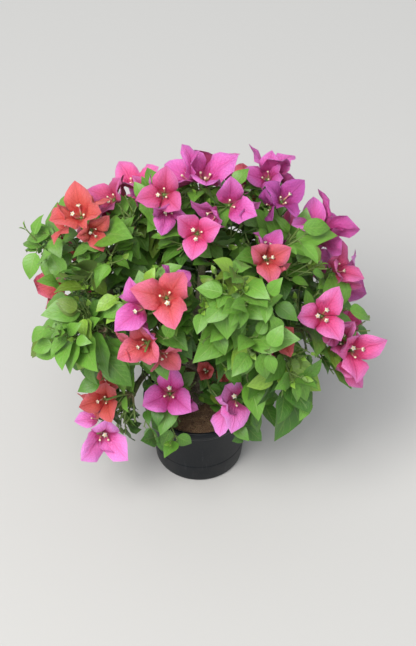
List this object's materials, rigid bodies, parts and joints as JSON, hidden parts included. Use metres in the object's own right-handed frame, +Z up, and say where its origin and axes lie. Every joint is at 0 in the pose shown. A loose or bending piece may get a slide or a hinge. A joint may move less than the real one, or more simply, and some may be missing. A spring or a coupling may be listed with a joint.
{
  "type": "bougainvillea bush in a nursery pot",
  "caption": "Young flowering bougainvillea bush with pink and coral bracts and broad green leaves, in a round black nursery pot.",
  "frame": {"origin": "centre of the pot's flat underside, which is the face it stands on", "axes": "+Z up from the pot to the top of the crown, -Y towards the front of the plant, +X to its right"},
  "size_m": [0.4206, 0.3479, 0.4661],
  "materials": {
    "pot": "black injection moulded plastic, satin, a little dusty",
    "potting_mix": "damp coir potting mix, rough and fibrous",
    "bark": "grey-brown woody bark with lenticels and ridges",
    "foliage": "satin green leaves, with thin papery pink and coral bracts"
  },
  "bodies": {
    "root": {"pot": "pot", "root_ball": "potting_mix", "trunk": "bark", "bough_top": "bark", "bough_left": "bark", "bough_right": "bark", "bough_front_left": "bark", "bough_back_left": "bark", "bough_back_right": "bark", "bough_front_low": "bark", "bough_front_inner": "bark", "bough_front": "bark", "bough_top_right": "bark", "bough_left_mid": "bark", "bough_left_low": "bark", "bough_front_right": "bark", "bough_back_low": "bark", "bough_left_back": "bark", "bough_right_back": "bark", "foliage_top": "foliage", "foliage_left": "foliage", "foliage_right": "foliage", "foliage_front_left": "foliage", "foliage_back_left": "foliage", "foliage_back_right": "foliage", "foliage_front_low": "foliage", "foliage_front_inner": "foliage", "foliage_front": "foliage", "foliage_top_right": "foliage", "foliage_left_mid": "foliage", "foliage_left_low": "foliage", "foliage_front_right": "foliage", "foliage_back_low": "foliage", "foliage_left_back": "foliage", "foliage_right_back": "foliage"}
  },
  "joints": []
}
